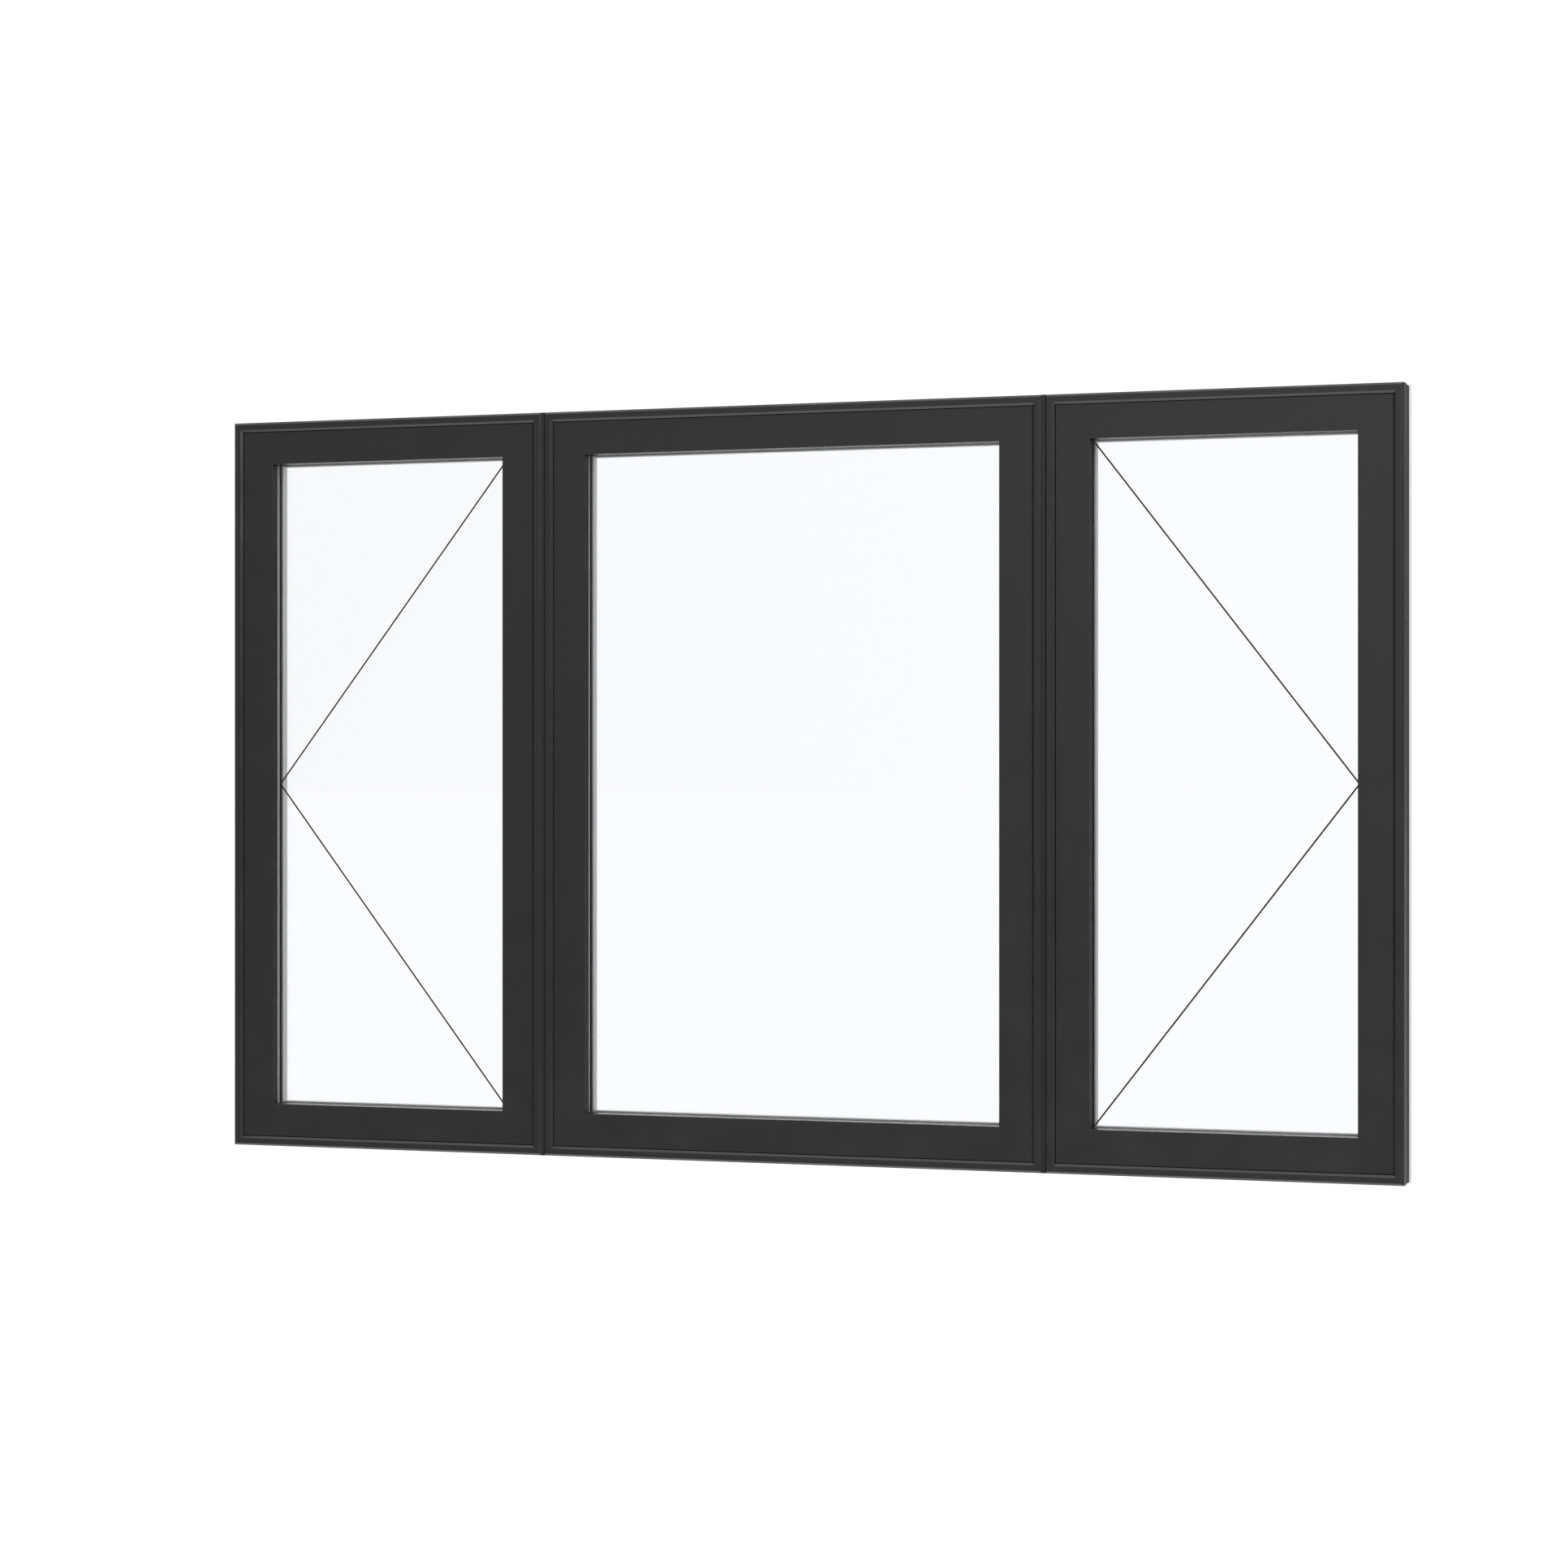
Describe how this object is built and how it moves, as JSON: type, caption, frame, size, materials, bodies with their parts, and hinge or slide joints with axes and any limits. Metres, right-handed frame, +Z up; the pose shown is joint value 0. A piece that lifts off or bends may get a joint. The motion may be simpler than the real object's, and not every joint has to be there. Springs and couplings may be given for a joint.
{
  "type": "triple casement window",
  "caption": "Aluminium window of framed lights joined side by side: a fixed middle light between outward-opening side-hung casements, dark outside and white inside.",
  "frame": {"origin": "middle of the underside of the middle frame, halfway across the flat of its outer shell", "axes": "+Z up, +X to the right as seen from outside, +Y from outside to inside"},
  "size_m": [2.104, 0.104, 1.304],
  "materials": {
    "anthracite_coating": "fine matt powder coat, anthracite grey",
    "white_coating": "satin powder coat, traffic white",
    "thermal_break": "extruded black polyamide",
    "clear_glass": "clear float glass, faint cool tint",
    "spacer_metal": "mill finish, perforated",
    "black_rubber": "matt extruded rubber",
    "handle_metal": "satin anodised"
  },
  "bodies": {
    "root": {"left_frame_shell": "anthracite_coating", "left_frame_break": "thermal_break", "left_frame_lining": "white_coating", "left_sash_shell": "anthracite_coating", "left_sash_body": "white_coating", "left_glazing_beads": "white_coating", "left_outer_pane": "clear_glass", "left_inner_pane": "clear_glass", "left_spacer": "spacer_metal", "left_outer_gasket": "black_rubber", "left_inner_gasket": "black_rubber", "left_weather_seal": "black_rubber", "centre_frame_shell": "anthracite_coating", "centre_frame_break": "thermal_break", "centre_frame_lining": "white_coating", "centre_sash_shell": "anthracite_coating", "centre_sash_body": "white_coating", "centre_glazing_beads": "white_coating", "centre_outer_pane": "clear_glass", "centre_inner_pane": "clear_glass", "centre_spacer": "spacer_metal", "centre_outer_gasket": "black_rubber", "centre_inner_gasket": "black_rubber", "centre_weather_seal": "black_rubber", "right_frame_shell": "anthracite_coating", "right_frame_break": "thermal_break", "right_frame_lining": "white_coating", "right_sash_shell": "anthracite_coating", "right_sash_body": "white_coating", "right_glazing_beads": "white_coating", "right_outer_pane": "clear_glass", "right_inner_pane": "clear_glass", "right_spacer": "spacer_metal", "right_outer_gasket": "black_rubber", "right_inner_gasket": "black_rubber", "right_weather_seal": "black_rubber", "left_joint_seal": "anthracite_coating", "left_joint_cover": "white_coating", "left_handle_plate": "handle_metal", "left_handle_lever": "handle_metal", "right_joint_seal": "anthracite_coating", "right_joint_cover": "white_coating", "right_handle_plate": "handle_metal", "right_handle_lever": "handle_metal"}
  },
  "joints": []
}
